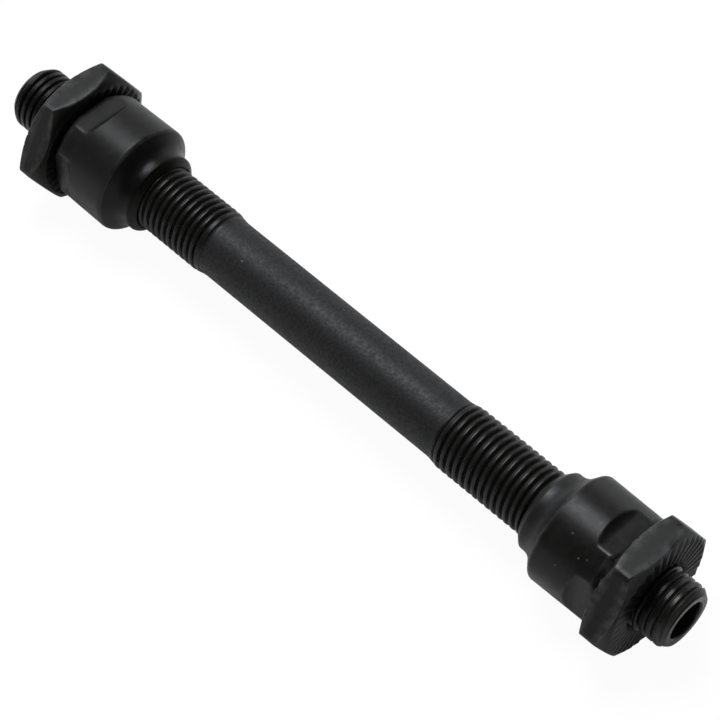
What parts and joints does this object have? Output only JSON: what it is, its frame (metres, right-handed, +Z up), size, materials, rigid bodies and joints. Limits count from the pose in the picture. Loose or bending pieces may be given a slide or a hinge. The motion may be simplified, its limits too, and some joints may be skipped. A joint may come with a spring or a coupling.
{
  "type": "front hub axle",
  "caption": "Hollow threaded front hub axle for a quick-release wheel, with bearing cones and serrated hexagon locknuts screwed on at both ends.",
  "frame": {"origin": "middle of the axle, on its centre line", "axes": "+Y along the axle towards its left end, +Z up, out of a flat of each locknut, +X forward"},
  "size_m": [0.0194, 0.11, 0.017],
  "materials": {
    "axle_steel": "black oxide, fine satin",
    "cone_steel": "black oxide on hardened and turned steel, semi-gloss",
    "locknut_steel": "black oxide, satin"
  },
  "bodies": {
    "axle": {"axle": "axle_steel"},
    "left_cone": {"left_cone": "cone_steel"},
    "right_cone": {"right_cone": "cone_steel"},
    "left_locknut": {"left_locknut": "locknut_steel"},
    "right_locknut": {"right_locknut": "locknut_steel"}
  },
  "joints": [
    {"name": "left_cone_screw", "type": "slide", "parent": "axle", "child": "left_cone", "axis": [0, -1, 0], "range_m": [0, 0.009]},
    {"name": "right_cone_screw", "type": "slide", "parent": "axle", "child": "right_cone", "axis": [0, 1, 0], "range_m": [0, 0.012]},
    {"name": "left_locknut_screw", "type": "slide", "parent": "axle", "child": "left_locknut", "axis": [0, 1, 0], "range_m": [0, 0.009]},
    {"name": "right_locknut_screw", "type": "slide", "parent": "axle", "child": "right_locknut", "axis": [0, -1, 0], "range_m": [0, 0.007]}
  ]
}
